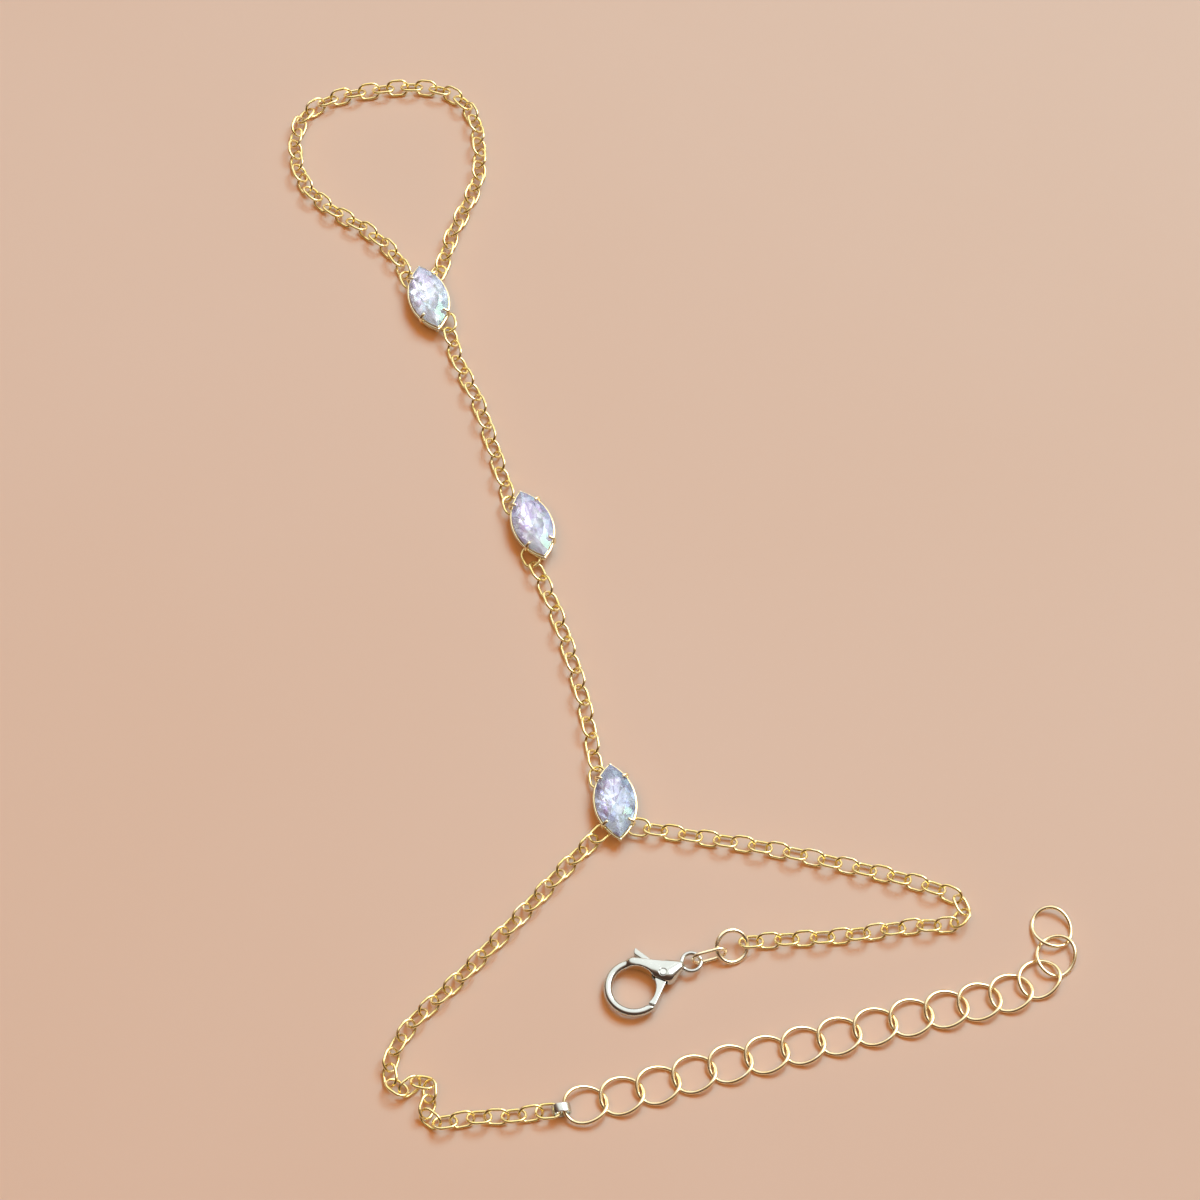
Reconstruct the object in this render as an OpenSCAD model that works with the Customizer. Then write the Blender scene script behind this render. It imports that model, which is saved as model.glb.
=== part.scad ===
/* [Small chain] */
// Outer length of a small chain link
link_l = 2.6; // [2.4:0.05:2.8]
// Outer width of a small chain link
link_w = 1.98; // [1.85:0.05:2.1]
// Wire thickness of a small chain link
link_wire = 0.29; // [0.22:0.01:0.3]
// Free play between two small links pulled taut
link_play = 0.1; // [0.06:0.01:0.2]
// Angle that every other small link turns to each side
link_swing = 43; // [38:1:48]
// Angle that the links lean towards the wrist end where a chain runs sideways
link_lean = 12; // [0:1:14]
// Turn of the link that holds a claw post or the band ring
hold_turn = 18; // [10:1:20]

/* [Chain lay] */
// Share of its taut length at which the finger loop lies
finger_pull = 0.83; // [0.8:0.01:0.9]
// Share of its taut length at which the upper chain lies
upper_pull = 0.945; // [0.9:0.005:0.97]
// Share of its taut length at which the lower chain lies
lower_pull = 0.97; // [0.93:0.005:0.98]
// Share of its taut length at which the left wrist chain lies
left_pull = 0.857; // [0.83:0.001:0.9]
// Share of its taut length at which the right wrist chain lies
right_pull = 0.915; // [0.89:0.005:0.95]

/* [Extender] */
// Outer length of an extender link
ext_l = 4.6; // [4.4:0.1:4.8]
// Outer width of an extender link
ext_w = 4.05; // [3.9:0.05:4.3]
// Wire thickness of an extender link
ext_wire = 0.38; // [0.3:0.01:0.4]
// Twist that lets the extender links lie flat
ext_twist = 20; // [18:1:22]
// Share of its taut length at which the straight stretch lies
ext_pull = 0.975; // [0.9:0.005:0.98]
// Share of its taut length at which the curled end lies
ext_curl_pull = 0.865; // [0.8:0.005:0.9]

/* [Stones] */
// Length of a stone, point to point
stone_l = 8; // [7:0.1:9]
// Width of a stone
stone_w = 4; // [3.6:0.1:4.4]
// Height of the crown above the girdle
crown_h = 0.65; // [0.5:0.05:0.9]
// Thickness of the girdle
girdle_t = 0.15; // [0.1:0.01:0.2]
// Depth of the pavilion below the girdle
pavilion_h = 1.2; // [1:0.05:1.4]
// Length of the table as a share of the stone's
table_share_l = 0.62; // [0.5:0.01:0.7]
// Width of the table as a share of the stone's
table_share_w = 0.54; // [0.45:0.01:0.6]

/* [Settings] */
// Wire thickness of the gallery rails
rail_wire = 0.3; // [0.24:0.01:0.32]
// Distance of the upper rail's wire outside the stone's outline
rail_out = 0.08; // [0.05:0.01:0.12]
// How far the lower rail stands inside the upper one
base_in = 0.5; // [0.3:0.05:0.6]
// Height of the upper rail, to the middle of its wire
rail_z = 1.55; // [1.5:0.01:1.65]
// Diameter of the beads that close the rails' points
tip_bead_d = 0.4; // [0.36:0.01:0.5]
// Diameter of the four claw posts
post_d = 0.36; // [0.3:0.01:0.4]
// Distance of the posts' axis outside the stone's outline
post_out = 0.25; // [0.24:0.01:0.3]
// Distance of the posts from the stone's middle, along the stone
post_along = 2.5; // [2.2:0.1:2.8]
// Thickness of a claw where it bends over the stone
claw_d = 0.3; // [0.24:0.01:0.32]
// Reach of a claw from its post over the crown
claw_reach = 0.5; // [0.4:0.05:0.6]
// Gap between stone and metal
stone_gap = 0.08; // [0.06:0.01:0.12]

/* [Band ring] */
// Outer diameter of the band ring
band_d = 1.9; // [1.8:0.05:2.1]
// Length of the band ring along its axis
band_l = 0.9; // [0.7:0.05:0.95]
// Wall of the band ring
band_wall = 0.2; // [0.15:0.01:0.22]

/* [Jump ring] */
// Outer diameter of the jump ring
jump_d = 3.6; // [3.5:0.05:3.7]
// Wire thickness of the jump ring
jump_wire = 0.45; // [0.3:0.01:0.48]

/* [Connector link] */
// Outer length of the connector link
conn_l = 3.7; // [3.6:0.05:3.8]
// Outer width of the connector link
conn_w = 2.1; // [2.05:0.05:2.2]
// Wire thickness of the connector link
conn_wire = 0.36; // [0.3:0.01:0.4]

/* [Clasp] */
// Thickness of the clasp body
body_t = 2; // [1.9:0.05:2.2]
// Inner diameter of the hook
hook_id = 4.25; // [4.1:0.05:4.4]
// Wire thickness of the hook
hook_wire = 0.85; // [0.75:0.01:0.9]
// Inner diameter of the eye
eye_id = 1.45; // [1.4:0.05:1.6]
// Wire thickness of the eye
eye_wire = 0.45; // [0.4:0.01:0.5]
// Distance from the hook's middle to the eye's middle
eye_x = 6.24; // [6.1:0.02:6.4]
// Distance from the hook's middle to the rivet
rivet_x = 3.15; // [3.05:0.05:3.2]
// Diameter of the rivet
rivet_d = 0.6; // [0.5:0.05:0.7]
// Running clearance between rivet and bores
rivet_gap = 0.03; // [0.02:0.01:0.05]
// Thickness of the lever
lever_t = 0.8; // [0.7:0.05:0.9]
// Clearance round the lever in its slot
lever_gap = 0.1; // [0.08:0.01:0.15]
// Width of the gate where it meets the hook
gate_w = 0.7; // [0.6:0.05:0.8]
// Diameter of the lever's hub
hub_d = 1.3; // [1.1:0.05:1.4]
// Height of the thumb spur above its root
spur_h = 0.9; // [0.8:0.05:1.2]

/* [Hidden] */
$fn = 32;

// Places of the rigid pieces: x, y and heading of the long axis
STONE_AT = [["finger", -24.6, 32.3, -74], ["middle", -13.2, 4.4, -71.5], ["wrist", -4.7, -27.2, -83]];
band_at = [-9.9, -59.25];
band_head = 10;
jump_at = [6.7, -42.5];
jump_pitch = 28;
jump_yaw = 20;
conn_at = [4.45, -43.5];
conn_head = 16;
conn_roll = -98;
eye_at = [2.7, -44.1];
clasp_head = 26;

// Routes that the loose chains take over the table
FINGER_ROUTE = [[-28.4, 38.2], [-31.6, 41.5], [-35.4, 44.1], [-38.6, 47.6], [-39.8, 52.3], [-39.1, 56.3],
                [-36.2, 58.8], [-31.2, 60.1], [-26.2, 60.5], [-22.4, 59.4], [-20.2, 56.4], [-19.5, 52.1],
                [-19.6, 48.2], [-21, 44.1], [-22.4, 40.5], [-23.1, 37.4]];
UPPER_ROUTE = [[-21.5, 25.2], [-19.1, 19.6], [-17.3, 13.6]];
LOWER_ROUTE = [[-11.4, -3.6], [-9.4, -9.8], [-7.7, -16.5]];
LEFT_ROUTE = [[-9.4, -33.8], [-14.2, -39.4], [-20.2, -46.1], [-24.5, -50.6], [-26.4, -54.3], [-26.2, -56.6],
              [-25.4, -57.5], [-24.3, -56.7], [-23, -56], [-22.3, -57.6], [-23, -59.4], [-22, -60.6],
              [-18.2, -60], [-14.7, -59.9], [-12.4, -59.5]];
RIGHT_ROUTE = [[3.4, -30.7], [10.7, -32], [17.8, -33.7], [24.9, -35.6], [29.1, -37.3], [29.6, -39],
               [28.6, -40.1], [24.4, -40.3], [17.8, -41.3], [11.8, -41.7], [7.7, -42]];
EXTENDER_ROUTE = [[-2.8, -57.3], [4.2, -55], [11.3, -53.1], [18.6, -51.1], [25.7, -49.2], [31.6, -47.8],
                  [35.2, -46.6], [37.7, -44.9], [38.9, -42.3], [37.4, -38.8], [35.2, -34.5]];
curve_steps = 10;
curl_from = 10.5;

// Heights and clearances that follow from the sizes above
floor_gap = 0.05;
hook_gap = 0.14;
roll_gap = 0.06;
link_b = (link_w - link_wire) / 2;
link_a = (link_l - link_wire) / 2;
taut_pitch = link_l - 2 * link_wire - link_play;
link_z = link_b * sin(link_swing + link_lean) + link_wire / 2 + floor_gap;
ext_a = (ext_l - ext_wire) / 2;
ext_b = (ext_w - ext_wire) / 2;
ext_taut = ext_l - 2 * ext_wire - link_play;
ext_z = ext_b * tan(ext_twist) / 2 + ext_wire / 2 + floor_gap / 2;
ext_end_r = ext_b * ext_b / ext_a;
girdle_z = rail_z + rail_wire / 2 + stone_gap + 0.02;
low_rail_z = tip_bead_d / 2;
bend_z = girdle_z + girdle_t + 0.15;
claw_slope = 0.98 * crown_h;
bead_more = 0.04;
stone_arc = (stone_l * stone_l + stone_w * stone_w) / (4 * stone_w);
arc_drop = stone_arc - stone_w / 2;
post_turn = asin(post_along / stone_arc);
body_mid = body_t / 2;
hook_r = (hook_id + hook_wire) / 2;
eye_r = (eye_id + eye_wire) / 2;

// Clasp: angles round the hook, the lumps of its cast body, and the lever's travel and slots
hook_root = 66;
hook_tip = 292;
gate_meet = 285;
root_r = 0.75;
belly_at = [rivet_x + 0.35, -0.2, 0];
heel_at = [eye_x - eye_r - 0.4, 0.1, 0];
heel_r = 0.6;
gate_end = [hook_r * cos(gate_meet) - rivet_x, hook_r * sin(gate_meet)];
gate_reach = norm(gate_end) - lever_gap;
gate_turn = atan2(gate_end.y, gate_end.x);
lever_open = 28;
spur_root = [[-1.65, 3.1], [-0.6, 2.35]];
spur_slot = [56, 128];
hub_slot = [15, 60];
hub_slot_r = hub_d / 2 + 0.6;

// Smooth curves through a route, and places along them
function mix_rows(a, b, c, d, t) =
    (2 * b + (c - a) * t + (2 * a - 5 * b + 4 * c - d) * t * t + (3 * b - a - 3 * c + d) * t * t * t) / 2;
function curve(rows) =
    let (last = len(rows) - 1)
    concat([for (i = [0:last - 1])
                for (j = [0:curve_steps - 1])
                    mix_rows(rows[max(i - 1, 0)], rows[i], rows[i + 1], rows[min(i + 2, last)],
                             j / curve_steps)],
           [rows[last]]);
function run(points) =
    let (last = len(points) - 1)
    [for (i = 0, s = 0; i <= last; i = i + 1, s = s + norm(points[min(i, last)] - points[i - 1])) s];
function places(points, s, at) =
    let (xs = [for (i = [0:len(s) - 1]) [s[i], points[i].x]],
         ys = [for (i = [0:len(s) - 1]) [s[i], points[i].y]])
    [for (q = at) [lookup(q, xs), lookup(q, ys)]];
function towards(p, q, far) = p + (q - p) / norm(q - p) * far;
function even_joints(rows, pull) =
    let (points = curve(rows), s = run(points), total = s[len(s) - 1], n = round(total / (taut_pitch * pull)))
    places(points, s, [for (k = [0:n]) total * k / n]);

// Claw post places: along is -1 towards the fingers, side is -1 on the left
function stone_row(name) = STONE_AT[search([name], STONE_AT)[0]];
function post_local(along, side, z) =
    let (r = stone_arc + post_out - base_in * max(rail_z - z, 0) / (rail_z - low_rail_z))
    [along * r * sin(post_turn), side * (r * cos(post_turn) - arc_drop), z];
function post_at(name, along, side) =
    let (row = stone_row(name), h = row[3], p = post_local(along, side, link_z))
    [row[1] + p.x * cos(h) - p.y * sin(h), row[2] + p.x * sin(h) + p.y * cos(h)];
function post_hold(pull) = link_a - link_wire / 2 - post_d / 2 - hook_gap - taut_pitch * pull / 2;
function from_post(rows, name, along, side, pull) =
    concat([towards(post_at(name, along, side), rows[0], post_hold(pull))], rows);
function to_post(rows, name, along, side, pull) =
    concat(rows, [towards(post_at(name, along, side), rows[len(rows) - 1], post_hold(pull))]);

module rod(from, to, d) {
    v = to - from;
    translate(from)
        rotate([0, acos(v.z / norm(v)), atan2(v.y, v.x)]) cylinder(d = d, h = norm(v), $fn = 32);
}

module wire_arc(r, wire, from, sweep) {
    rotate([0, 0, from])
        rotate_extrude(angle = sweep)
            translate([r, 0]) circle(d = wire, $fn = 24);
}

// Link of round wire with straight sides and round ends, flat in the XY plane, long along X
module oval_link(l, w, wire) {
    b = (w - wire) / 2;
    side = l - w;
    for (s = [-1, 1]) {
        translate([s * side / 2, 0, 0]) wire_arc(b, wire, -s * 90, 180);
        translate([-side / 2, s * b, 0]) rotate([0, 90, 0]) cylinder(d = wire, h = side, $fn = 24);
    }
}

// Puts a link halfway between two joints, rolled about its length and dipped towards the second
module laid(from, to, z, roll, dip = 0) {
    h = atan2(to.y - from.y, to.x - from.x);
    translate([(from.x + to.x) / 2, (from.y + to.y) / 2, z])
        rotate([0, dip, h])
            rotate([roll, 0, 0]) children();
}

// Chain of small links along its joints; the end links lie flatter where they hold something
module cable_chain(joints, first_holds = true, last_holds = true) {
    n = len(joints) - 1;
    for (k = [0:n - 1]) {
        side = k % 2 == 0 ? 1 : -1;
        h = atan2(joints[k + 1].y - joints[k].y, joints[k + 1].x - joints[k].x);
        holds = (k == 0 && first_holds) || (k == n - 1 && last_holds);
        roll = holds ? side * hold_turn : link_lean * cos(h) + side * link_swing;
        laid(joints[k], joints[k + 1], link_z, roll)
            oval_link(link_l, link_w, link_wire);
    }
}

module finger_chain() {
    rows = to_post(from_post(FINGER_ROUTE, "finger", -1, -1, finger_pull), "finger", -1, 1, finger_pull);
    color("gold") cable_chain(even_joints(rows, finger_pull));
}

module upper_chain() {
    rows = to_post(from_post(UPPER_ROUTE, "finger", 1, 1, upper_pull), "middle", -1, -1, upper_pull);
    color("gold") cable_chain(even_joints(rows, upper_pull));
}

module lower_chain() {
    rows = to_post(from_post(LOWER_ROUTE, "middle", 1, -1, lower_pull), "wrist", -1, -1, lower_pull);
    color("gold") cable_chain(even_joints(rows, lower_pull));
}

// The two chains that the band ring joins each hold one of its walls
band_bore_r = band_d / 2 - band_wall;
function hold_x(end_r, wire) =
    band_bore_r + sqrt(pow(end_r - wire / 2 - hook_gap - roll_gap, 2) - band_l * band_l / 4) - end_r;
left_end_x = hold_x(link_b, link_wire);
ext_end_x = hold_x(ext_end_r, ext_wire);
ext_lift = band_d / 2 - ext_z;

module wrist_chain_left() {
    near = LEFT_ROUTE[len(LEFT_ROUTE) - 1];
    last = towards(band_at, near, link_a + left_end_x - taut_pitch * left_pull / 2);
    rows = concat(from_post(LEFT_ROUTE, "wrist", 1, -1, left_pull), [last]);
    color("gold") cable_chain(even_joints(rows, left_pull));
}

module wrist_chain_right() {
    rows = from_post(RIGHT_ROUTE, "wrist", 1, 1, right_pull);
    color("gold") cable_chain(even_joints(rows, right_pull), last_holds = false);
}

// Curb links: each is twisted so that it lies flat through its neighbours
extender_joints =
    let (start = towards(band_at, EXTENDER_ROUTE[0], ext_end_x + ext_a - ext_taut * ext_pull / 2),
         points = curve(concat([start], EXTENDER_ROUTE)),
         s = run(points))
    places(points, s, [for (k = [0:16]) ext_taut * (min(k, curl_from) * ext_pull
                                                    + max(k - curl_from, 0) * ext_curl_pull)]);
ext_rings = 16;
ext_sides = 6;

function twisted_point(u) =
    let (x = ext_a * cos(360 * u), y = ext_b * sin(360 * u))
    [x, y, -tan(ext_twist) / ext_a * x * y];

module twisted_link() {
    points = [for (i = [0:ext_rings - 1])
        let (p = twisted_point(i / ext_rings),
             ahead = twisted_point(((i + 0.3) % ext_rings) / ext_rings),
             behind = twisted_point(((i - 0.3 + ext_rings) % ext_rings) / ext_rings),
             along = (ahead - behind) / norm(ahead - behind),
             out = cross(along, [0, 0, 1]) / norm(cross(along, [0, 0, 1])),
             up = cross(out, along))
        for (j = [0:ext_sides - 1])
            let (q = 360 * j / ext_sides)
            p + ext_wire / 2 * (out * cos(q) + up * sin(q))];
    faces = [for (i = [0:ext_rings - 1])
        for (j = [0:ext_sides - 1])
            let (a = i * ext_sides, b = (i + 1) % ext_rings * ext_sides, j2 = (j + 1) % ext_sides)
            for (face = [[a + j, b + j, b + j2], [a + j, b + j2, a + j2]]) face];
    polyhedron(points, faces, convexity = 4);
}

// The first link is lifted at its start, where it passes through the band ring
module extender_link(k) {
    lift = k == 1 ? ext_lift : 0;
    color("gold")
        laid(extender_joints[k - 1], extender_joints[k], ext_z + lift / 2, 0, asin(lift / 2 / ext_a))
            twisted_link();
}

module band_ring() {
    color("silver")
        translate([band_at.x, band_at.y, band_d / 2])
            rotate([0, 0, band_head])
                rotate([90, 0, 0])
                    difference() {
                        cylinder(d = band_d, h = band_l, center = true, $fn = 64);
                        cylinder(r = band_bore_r, h = band_l + 1, center = true, $fn = 64);
                    }
}

module jump_ring() {
    jump_r = (jump_d - jump_wire) / 2;
    reach = sqrt(1 - pow(cos(jump_pitch) * cos(jump_yaw), 2));
    color("gold")
        translate([jump_at.x, jump_at.y, jump_r * reach + jump_wire / 2 + floor_gap / 2])
            rotate([0, jump_yaw, 0])
                rotate([jump_pitch, 0, 0])
                    rotate_extrude($fn = 64) translate([jump_r, 0]) circle(d = jump_wire, $fn = 24);
}

module connector_link() {
    color("gold")
        translate([conn_at.x, conn_at.y, (conn_w - conn_wire) / 2 * sin(-conn_roll) + conn_wire / 2 + 0.08])
            rotate([0, 0, conn_head])
                rotate([conn_roll, 0, 0]) oval_link(conn_l, conn_w, conn_wire);
}

// Clasp frame: X from the hook's middle to the eye, Z = 0 in the middle of its thickness
module clasp_frame() {
    translate([eye_at.x, eye_at.y, body_mid])
        rotate([0, 0, clasp_head])
            translate([-eye_x, 0, 0]) children();
}

// Part of a disc about the rivet between two directions, for cuts in the mid plane
module sector(from, to, r) {
    step = (to - from) / 8;
    polygon(concat([[0, 0]], [for (i = [0:8]) r * [cos(from + i * step), sin(from + i * step)]]));
}

// Bar that narrows from the lever's hub to the gate's end
module gate_bar(reach, t, grow = 0) {
    linear_extrude(t, center = true)
        polygon([for (p = [[0, -hub_d], [reach, -gate_w], [reach, gate_w], [0, hub_d]])
                    [p.x, p.y / 2 + sign(p.y) * grow]]);
}

module clasp_body() {
    slot_t = lever_t + 2 * lever_gap;
    color("silver") clasp_frame() difference() {
        union() {
            wire_arc(hook_r, hook_wire, hook_root, hook_tip - hook_root);
            hull() {
                translate([hook_r * cos(hook_root), hook_r * sin(hook_root), 0]) sphere(r = root_r);
                translate(belly_at) sphere(r = body_mid);
                translate(heel_at) sphere(r = heel_r);
            }
            translate([eye_x, 0, 0])
                rotate_extrude($fn = 64) translate([eye_r, 0]) circle(d = eye_wire, $fn = 24);
        }
        cylinder(d = hook_id, h = body_t + 1, center = true, $fn = 96);
        translate([eye_x, 0, 0]) cylinder(d = eye_id, h = body_t + 1, center = true, $fn = 64);
        translate([rivet_x, 0, 0]) {
            cylinder(d = rivet_d + 2 * rivet_gap, h = body_t + 1, center = true, $fn = 48);
            cylinder(d = hub_d + 2 * lever_gap, h = slot_t, center = true, $fn = 48);
            linear_extrude(slot_t, center = true) sector(spur_slot[0], spur_slot[1], 5);
            linear_extrude(slot_t, center = true) sector(hub_slot[0], hub_slot[1], hub_slot_r);
            linear_extrude(slot_t, center = true) sector(gate_turn - lever_open, gate_turn, gate_reach);
            for (turn = [gate_turn, gate_turn - lever_open])
                rotate([0, 0, turn]) gate_bar(gate_reach, slot_t, lever_gap);
        }
        // Face of the hook's tip, round about the rivet
        intersection() {
            translate([rivet_x, 0, 0])
                cylinder(r = gate_reach + lever_gap, h = body_t + 1, center = true, $fn = 128);
            translate([0, -hook_r, 0]) cube([2 * hook_r, hook_r, body_t + 2], center = true);
        }
    }
}

module clasp_rivet() {
    color("silver") clasp_frame()
        translate([rivet_x, 0, 0]) cylinder(d = rivet_d, h = body_t - 0.2, center = true, $fn = 48);
}

module clasp_lever() {
    color("silver") clasp_frame() translate([rivet_x, 0, 0]) difference() {
        union() {
            cylinder(d = hub_d, h = lever_t, center = true, $fn = 48);
            difference() {
                intersection() {
                    rotate([0, 0, gate_turn]) gate_bar(gate_reach + 0.2, lever_t);
                    cylinder(r = gate_reach, h = lever_t, center = true, $fn = 128);
                }
                translate([-rivet_x, 0, 0]) cylinder(d = hook_id, h = lever_t + 1, center = true, $fn = 96);
            }
            linear_extrude(lever_t, center = true)
                polygon([[0, 0], spur_root[0], spur_root[0] + [0.3, spur_h - 0.35],
                         spur_root[0] + [0.45, spur_h - 0.4], spur_root[1], hub_d / 2 * [0.6, 0.7]]);
        }
        cylinder(d = rivet_d + 2 * rivet_gap, h = lever_t + 1, center = true, $fn = 48);
    }
}

// Open setting: two rails of wire, four claw posts, and a bead at each point
module rail(z, out) {
    r = stone_arc + out;
    turn = acos(arc_drop / r);
    for (s = [-1, 1])
        translate([0, -s * arc_drop, z])
            wire_arc(r, rail_wire, s * 90 - turn, 2 * turn);
    for (s = [-1, 1])
        translate([s * r * sin(turn), 0, z]) sphere(d = tip_bead_d);
}

// Post that leans out from the lower rail to the upper one, with a claw that bends over the crown
module claw(along, side) {
    low = post_local(along, side, low_rail_z);
    high = post_local(along, side, rail_z);
    bend = [high.x, high.y, bend_z];
    inward = [-high.x, -side * arc_drop - high.y, 0];
    tip = bend + claw_reach * (inward / norm(inward) + [0, 0, claw_slope]);
    rod(low, high, post_d);
    rod(high, bend, post_d);
    rod(bend, tip, claw_d);
    for (p = [low, high, bend]) translate(p) sphere(d = post_d + bead_more);
    translate(tip) sphere(d = claw_d + bead_more);
}

module at_stone(name) {
    row = stone_row(name);
    translate([row[1], row[2], 0]) rotate([0, 0, row[3]]) children();
}

module setting(name) {
    color("gold") at_stone(name) {
        rail(low_rail_z, rail_out - base_in);
        rail(rail_z, rail_out);
        for (along = [-1, 1])
            for (side = [-1, 1])
                claw(along, side);
    }
}

module setting_finger() { setting("finger"); }
module setting_middle() { setting("middle"); }
module setting_wrist() { setting("wrist"); }

// Marquise stone: 16 points on its girdle, 8 round its table
function outline_point(i, share_l, share_w) =
    let (tip = acos(arc_drop / stone_arc),
         turn = tip * (1 - (i % 8) / 4),
         side = i < 8 ? 1 : -1)
    [side * stone_arc * sin(turn) * share_l, side * (stone_arc * cos(turn) - arc_drop) * share_w];
function ring(share_l, share_w, z, every = 1, from = 0) =
    [for (i = [from:every:15]) let (p = outline_point(i, share_l, share_w)) [p.x, p.y, z]];

module stone(name) {
    crown_l = (1 + table_share_l) / 2;
    crown_w = (1 + table_share_w) / 2;
    points = concat(ring(table_share_l, table_share_w, girdle_t + crown_h, 2),
                    ring(crown_l, crown_w, girdle_t + crown_h * 0.58, 2, 1),
                    ring(1, 1, girdle_t),
                    ring(1, 1, 0),
                    ring(0.36, 0.3, -pavilion_h * 0.74, 2, 1),
                    [[0, 0, -pavilion_h]]);
    table = 0;
    star = 8;
    top = 16;
    low = 32;
    break = 48;
    culet = 56;
    faces = concat([[for (j = [7:-1:0]) table + j]],
                   [for (j = [0:7]) [table + j, table + (j + 1) % 8, star + j]],
                   [for (j = [0:7]) [table + j, top + 2 * j, star + (j + 7) % 8]],
                   [for (j = [0:7]) [table + j, star + j, top + 2 * j]],
                   [for (j = [0:7]) [star + j, top + 2 * j + 1, top + 2 * j]],
                   [for (j = [0:7]) [star + j, top + (2 * j + 2) % 16, top + 2 * j + 1]],
                   [for (i = [0:15]) [top + i, top + (i + 1) % 16, low + (i + 1) % 16, low + i]],
                   [for (j = [0:7]) [break + j, low + 2 * j, low + 2 * j + 1]],
                   [for (j = [0:7]) [break + j, low + 2 * j + 1, low + (2 * j + 2) % 16]],
                   [for (j = [0:7]) [culet, low + 2 * j, break + j]],
                   [for (j = [0:7]) [culet, break + (j + 7) % 8, low + 2 * j]]);
    color("lavender") at_stone(name) translate([0, 0, girdle_z]) polyhedron(points, faces, convexity = 2);
}

module stone_finger() { stone("finger"); }
module stone_middle() { stone("middle"); }
module stone_wrist() { stone("wrist"); }

finger_chain();
upper_chain();
lower_chain();
wrist_chain_left();
wrist_chain_right();
extender_link(1);  // extender_link_01
extender_link(2);  // extender_link_02
extender_link(3);  // extender_link_03
extender_link(4);  // extender_link_04
extender_link(5);  // extender_link_05
extender_link(6);  // extender_link_06
extender_link(7);  // extender_link_07
extender_link(8);  // extender_link_08
extender_link(9);  // extender_link_09
extender_link(10);  // extender_link_10
extender_link(11);  // extender_link_11
extender_link(12);  // extender_link_12
extender_link(13);  // extender_link_13
extender_link(14);  // extender_link_14
extender_link(15);  // extender_link_15
extender_link(16);  // extender_link_16
band_ring();
jump_ring();
connector_link();
clasp_body();
clasp_rivet();
clasp_lever();
setting_finger();
setting_middle();
setting_wrist();
stone_finger();
stone_middle();
stone_wrist();
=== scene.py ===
import math

import bpy
import numpy as np
from bpy.props import FloatProperty, FloatVectorProperty, PointerProperty
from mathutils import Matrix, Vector


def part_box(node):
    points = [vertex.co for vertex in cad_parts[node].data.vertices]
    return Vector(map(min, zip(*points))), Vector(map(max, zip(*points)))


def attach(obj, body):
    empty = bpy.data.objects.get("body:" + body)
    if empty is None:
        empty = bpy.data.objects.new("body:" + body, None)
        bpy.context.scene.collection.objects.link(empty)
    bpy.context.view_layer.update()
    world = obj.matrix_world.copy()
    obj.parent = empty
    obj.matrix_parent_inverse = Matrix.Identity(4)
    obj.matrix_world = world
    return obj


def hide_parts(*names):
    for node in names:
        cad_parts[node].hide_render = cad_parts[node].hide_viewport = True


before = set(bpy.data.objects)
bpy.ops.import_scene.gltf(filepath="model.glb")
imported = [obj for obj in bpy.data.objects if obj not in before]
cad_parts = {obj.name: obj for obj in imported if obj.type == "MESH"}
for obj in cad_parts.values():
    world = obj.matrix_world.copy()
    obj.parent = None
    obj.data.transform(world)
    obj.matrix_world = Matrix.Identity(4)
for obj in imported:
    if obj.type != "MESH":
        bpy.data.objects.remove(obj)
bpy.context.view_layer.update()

bl_info = {
    "name": "Hand chain bracelet",
    "version": (1, 0, 0),
    "blender": (4, 5, 0),
    "location": "3D View > Sidebar > Bracelet",
    "description": "Dresses a hand chain bracelet: fine cable chain, claw set stones, clasp and extender",
    "category": "Object",
}

MM = 0.001
WELD = 1e-6
SMALL_CHAINS = ("finger_chain", "upper_chain", "lower_chain", "wrist_chain_left", "wrist_chain_right")
EXTENDER_COUNT = 16
STONES = ("finger", "middle", "wrist")
UP = np.array((0.0, 0.0, 1.0))


# Reading the frame

def node_solids(node):
    """Points of each solid in a CAD node, as one array for each solid."""
    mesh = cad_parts[node].data
    points = np.empty(len(mesh.vertices) * 3, np.float32)
    mesh.vertices.foreach_get("co", points)
    spots, spot_of = np.unique(
        np.round(points.reshape(-1, 3).astype(float) / WELD).astype(np.int64), axis=0, return_inverse=True)
    mesh.calc_loop_triangles()
    corners = np.empty(len(mesh.loop_triangles) * 3, np.int32)
    mesh.loop_triangles.foreach_get("vertices", corners)
    corners = spot_of.ravel()[corners].reshape(-1, 3)
    label = np.arange(len(spots))
    while True:
        lower = label.copy()
        np.minimum.at(lower, corners.ravel(), np.repeat(label[corners].min(axis=1), 3))
        lower = lower[lower]
        if (lower == label).all():
            return [spots[label == k] * WELD for k in np.unique(label)]
        label = lower


def solid_axes(points):
    """Middle, axes as columns (along, across, through) and size of one solid."""
    middle = points.mean(axis=0)
    axes = np.linalg.eigh((points - middle).T @ (points - middle))[1][:, ::-1].copy()
    axes[:, 2] = np.cross(axes[:, 0], axes[:, 1])
    local = (points - middle) @ axes
    low, high = local.min(axis=0), local.max(axis=0)
    return middle + axes @ ((low + high) / 2), axes, high - low


def stone_place(name):
    """Middle of a stone's outline, its axes with Z up, its size, and its lowest and highest point in Z."""
    points = np.concatenate(node_solids(f"stone_{name}"))
    flat = points[:, :2] - points[:, :2].mean(axis=0)
    along = np.linalg.eigh(flat.T @ flat)[1][:, 1]
    if along[1] > 0:
        along = -along
    axes = np.column_stack(((*along, 0), (-along[1], along[0], 0), UP))
    local = points @ axes
    low, high = local.min(axis=0), local.max(axis=0)
    middle = axes @ np.array((*((low + high) / 2)[:2], 0))
    return middle, axes, high - low, low[2], high[2]


# Building meshes

# A rounded wire end stops just short of its pole, and keeps a small flat face there
LAST_TURN = math.radians(86)


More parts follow.
